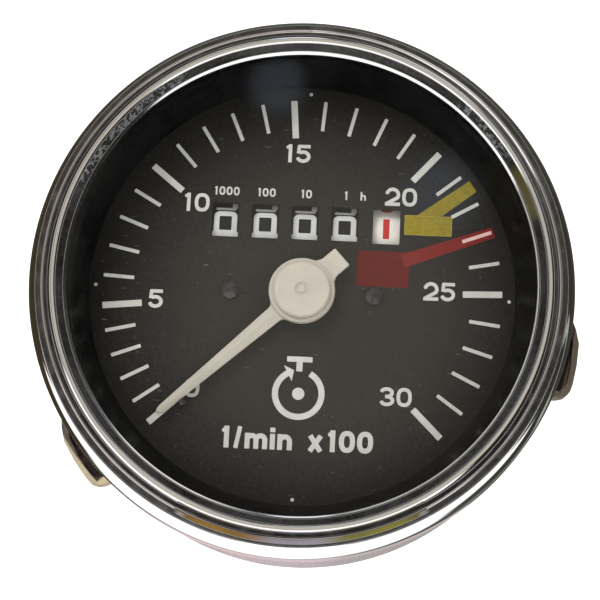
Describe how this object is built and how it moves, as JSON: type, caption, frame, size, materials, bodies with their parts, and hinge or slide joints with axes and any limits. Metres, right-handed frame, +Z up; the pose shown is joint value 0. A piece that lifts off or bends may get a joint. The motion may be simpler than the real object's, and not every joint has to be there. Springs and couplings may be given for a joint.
{
  "type": "tachometer",
  "caption": "Round panel tachometer: chrome bezel, glass, cream pointer on a drag-cup movement, hour-counter drums, cable spigot and clamp bracket.",
  "frame": {"origin": "on the gauge axis, in the plane where the bezel's rear edge seats on the panel (the dial face is in the same plane)", "axes": "+Y along the gauge axis into the dash, +Z up as the dial is read, +X to the reader's right"},
  "size_m": [0.1126, 0.079, 0.11],
  "materials": {
    "chrome_plate": "bright chrome plate on rolled brass sheet",
    "clear_glass": "flat clear glass",
    "black_rubber": "matt moulded rubber",
    "black_enamel": "satin black-brown enamel",
    "bright_zinc": "bright zinc plated drawn steel",
    "yellow_zinc": "yellow passivated zinc plate",
    "die_cast": "as-cast zinc alloy, light sand texture",
    "brass_plate": "rolled clock brass",
    "bronze": "turned bearing bronze",
    "steel": "turned steel",
    "black_screw": "blackened steel",
    "cream_paint": "warm cream enamel on aluminium",
    "black_drum": "satin black moulded plastic",
    "white_drum": "satin white moulded plastic",
    "aluminium_cup": "drawn aluminium",
    "magnet": "sintered magnet alloy",
    "spring_bronze": "phosphor bronze strip",
    "bulb_glass": "clear bulb glass"
  },
  "bodies": {
    "housing": {"bezel": "chrome_plate", "lens_glass": "clear_glass", "lens_gasket": "black_rubber", "dial_surround": "black_enamel", "case": "bright_zinc", "movement_base": "die_cast", "drive_spigot": "die_cast", "spigot_bush": "bronze", "middle_plate": "brass_plate", "shaft_bush": "bronze", "front_plate": "brass_plate", "frame_pillars": "steel", "frame_screws": "steel", "case_screws": "yellow_zinc", "dial": "black_enamel", "dial_posts": "steel", "dial_screws": "black_screw", "zero_stop_pin": "black_screw", "spindle_bush": "bronze", "spring_anchor": "brass_plate", "hairspring": "spring_bronze", "field_ring": "magnet", "counter_plates": "steel", "counter_shaft": "steel", "pinion_shaft": "steel", "pawl_pivot": "steel", "pawl_spring": "steel", "lamp_sockets": "bright_zinc", "lamp_bulbs": "bulb_glass", "bracket_studs": "yellow_zinc", "ground_tab": "bright_zinc"},
    "pointer_group": {"pointer": "cream_paint", "pointer_cap": "cream_paint", "pointer_spindle": "steel", "hairspring_collet": "brass_plate", "drag_cup": "aluminium_cup"},
    "drive_group": {"main_shaft": "steel", "magnet_rotor": "magnet", "drive_worm": "bronze"},
    "cross_group": {"cross_shaft": "steel", "worm_wheel": "brass_plate", "cross_worm": "bronze"},
    "timing_group": {"timing_shaft": "steel", "timing_wheel": "brass_plate", "timing_cam": "brass_plate"},
    "pawl": {"pawl_lever": "steel"},
    "tenths": {"drum_tenths": "white_drum", "ratchet_wheel": "brass_plate"},
    "units": {"drum_units": "black_drum"},
    "tens": {"drum_tens": "black_drum"},
    "hundreds": {"drum_hundreds": "black_drum"},
    "thousands": {"drum_thousands": "black_drum"},
    "pinion_units": {"transfer_pinion_units": "brass_plate"},
    "pinion_tens": {"transfer_pinion_tens": "brass_plate"},
    "pinion_hundreds": {"transfer_pinion_hundreds": "brass_plate"},
    "pinion_thousands": {"transfer_pinion_thousands": "brass_plate"},
    "bracket_group": {"bracket": "yellow_zinc", "bracket_washers": "bright_zinc", "bracket_nuts": "yellow_zinc"}
  },
  "joints": [
    {"name": "pointer_swing", "type": "hinge", "parent": "housing", "child": "pointer_group", "pos_m": [0, 0, 0], "axis": [0, 1, 0], "range_deg": [0, 267.6], "stiffness_Nm_per_rad": 0.0004, "springref_deg": -34.38},
    {"name": "drive_spin", "type": "hinge", "parent": "housing", "child": "drive_group", "pos_m": [0, 0.03, 0], "axis": [0, 1, 0], "continuous": true},
    {"name": "cross_shaft_spin", "type": "hinge", "parent": "housing", "child": "cross_group", "pos_m": [0, 0.0355, 0.0053], "axis": [1, 0, 0], "continuous": true},
    {"name": "timing_shaft_spin", "type": "hinge", "parent": "housing", "child": "timing_group", "pos_m": [0.02, 0.0355, 0.0157], "axis": [0, 1, 0], "continuous": true},
    {"name": "pawl_rock", "type": "hinge", "parent": "housing", "child": "pawl", "pos_m": [0.0095, 0.021, 0.0185], "axis": [0, -1, 0], "range_deg": [0, 5], "stiffness_Nm_per_rad": 0.0002, "springref_deg": -17.19, "deforming": ["pawl_spring"]},
    {"name": "drum_tenths_spin", "type": "hinge", "parent": "housing", "child": "tenths", "pos_m": [0.0168, 0.0106, 0.0139], "axis": [-1, 0, 0], "continuous": true},
    {"name": "drum_units_spin", "type": "hinge", "parent": "housing", "child": "units", "pos_m": [0.00815, 0.0106, 0.0139], "axis": [-1, 0, 0], "continuous": true},
    {"name": "drum_tens_spin", "type": "hinge", "parent": "housing", "child": "tens", "pos_m": [-0.0001, 0.0106, 0.0139], "axis": [-1, 0, 0], "continuous": true},
    {"name": "drum_hundreds_spin", "type": "hinge", "parent": "housing", "child": "hundreds", "pos_m": [-0.00835, 0.0106, 0.0139], "axis": [-1, 0, 0], "continuous": true},
    {"name": "drum_thousands_spin", "type": "hinge", "parent": "housing", "child": "thousands", "pos_m": [-0.0166, 0.0106, 0.0139], "axis": [-1, 0, 0], "continuous": true},
    {"name": "pinion_units_spin", "type": "hinge", "parent": "housing", "child": "pinion_units", "pos_m": [0.012, 0.0162, 0.0236], "axis": [-1, 0, 0], "continuous": true},
    {"name": "pinion_tens_spin", "type": "hinge", "parent": "housing", "child": "pinion_tens", "pos_m": [0.0038, 0.0162, 0.0236], "axis": [-1, 0, 0], "continuous": true},
    {"name": "pinion_hundreds_spin", "type": "hinge", "parent": "housing", "child": "pinion_hundreds", "pos_m": [-0.0044, 0.0162, 0.0236], "axis": [-1, 0, 0], "continuous": true},
    {"name": "pinion_thousands_spin", "type": "hinge", "parent": "housing", "child": "pinion_thousands", "pos_m": [-0.0127, 0.0162, 0.0236], "axis": [-1, 0, 0], "continuous": true},
    {"name": "bracket_slide", "type": "slide", "parent": "housing", "child": "bracket_group", "axis": [0, 1, 0], "range_m": [-0.002, 0.002]}
  ],
  "couplings": [
    {"joint": "cross_shaft_spin", "follows": "drive_spin", "ratio": -0.05},
    {"joint": "timing_shaft_spin", "follows": "drive_spin", "ratio": -0.00092593},
    {"joint": "drum_units_spin", "follows": "drum_tenths_spin", "ratio": 0.1},
    {"joint": "drum_tens_spin", "follows": "drum_tenths_spin", "ratio": 0.01},
    {"joint": "drum_hundreds_spin", "follows": "drum_tenths_spin", "ratio": 0.001},
    {"joint": "drum_thousands_spin", "follows": "drum_tenths_spin", "ratio": 0.0001},
    {"joint": "pinion_units_spin", "follows": "drum_tenths_spin", "ratio": -0.25},
    {"joint": "pinion_tens_spin", "follows": "drum_tenths_spin", "ratio": -0.025},
    {"joint": "pinion_hundreds_spin", "follows": "drum_tenths_spin", "ratio": -0.0025},
    {"joint": "pinion_thousands_spin", "follows": "drum_tenths_spin", "ratio": -0.00025}
  ]
}
